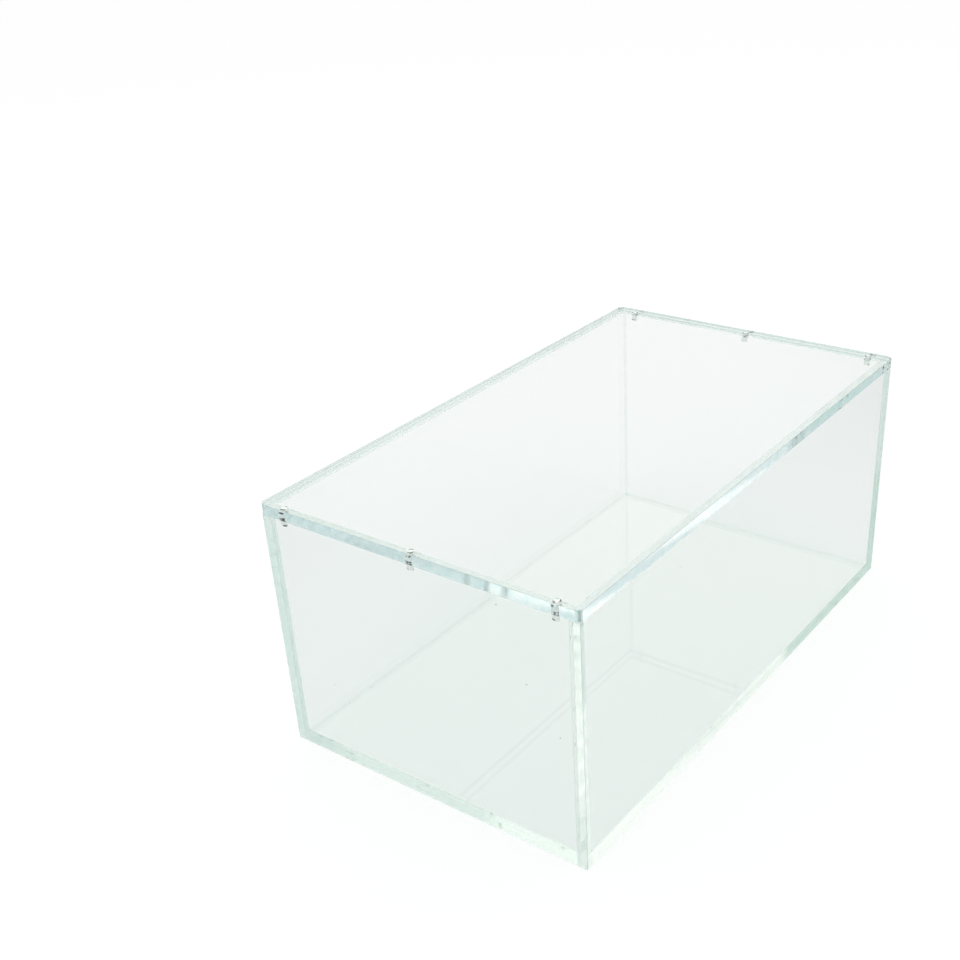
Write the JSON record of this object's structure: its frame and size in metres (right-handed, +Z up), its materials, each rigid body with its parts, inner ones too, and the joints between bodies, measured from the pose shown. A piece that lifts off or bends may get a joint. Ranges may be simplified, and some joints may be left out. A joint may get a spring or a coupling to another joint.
{
  "type": "display case",
  "caption": "Clear acrylic box case with a flat lift-off lid, held shut by small magnets set in the lid and in the upper edges of the end walls.",
  "frame": {"origin": "on the ground, under the middle of the case", "axes": "+X along the long side, +Y along the short side towards the back wall, +Z up"},
  "size_m": [0.344, 0.198, 0.15],
  "materials": {
    "acrylic_sheet": "clear acrylic, faces glossy, edges polished, faint green tint in the edges",
    "acrylic_lid": "clear acrylic, faces glossy, edges polished, faint green tint in the edges",
    "magnet_plating": "bright plated metal"
  },
  "bodies": {
    "case": {"base_panel": "acrylic_sheet", "front_wall": "acrylic_sheet", "back_wall": "acrylic_sheet", "left_end_wall": "acrylic_sheet", "right_end_wall": "acrylic_sheet", "wall_magnet_left_front": "magnet_plating", "wall_magnet_left_middle": "magnet_plating", "wall_magnet_left_back": "magnet_plating", "wall_magnet_right_front": "magnet_plating", "wall_magnet_right_middle": "magnet_plating", "wall_magnet_right_back": "magnet_plating"},
    "lid": {"lid": "acrylic_lid", "lid_magnet_left_front": "magnet_plating", "lid_magnet_left_middle": "magnet_plating", "lid_magnet_left_back": "magnet_plating", "lid_magnet_right_front": "magnet_plating", "lid_magnet_right_middle": "magnet_plating", "lid_magnet_right_back": "magnet_plating"}
  },
  "joints": [
    {"name": "lid_lift", "type": "slide", "parent": "case", "child": "lid", "axis": [0, 0, 1], "range_m": [0, 0.16]}
  ]
}
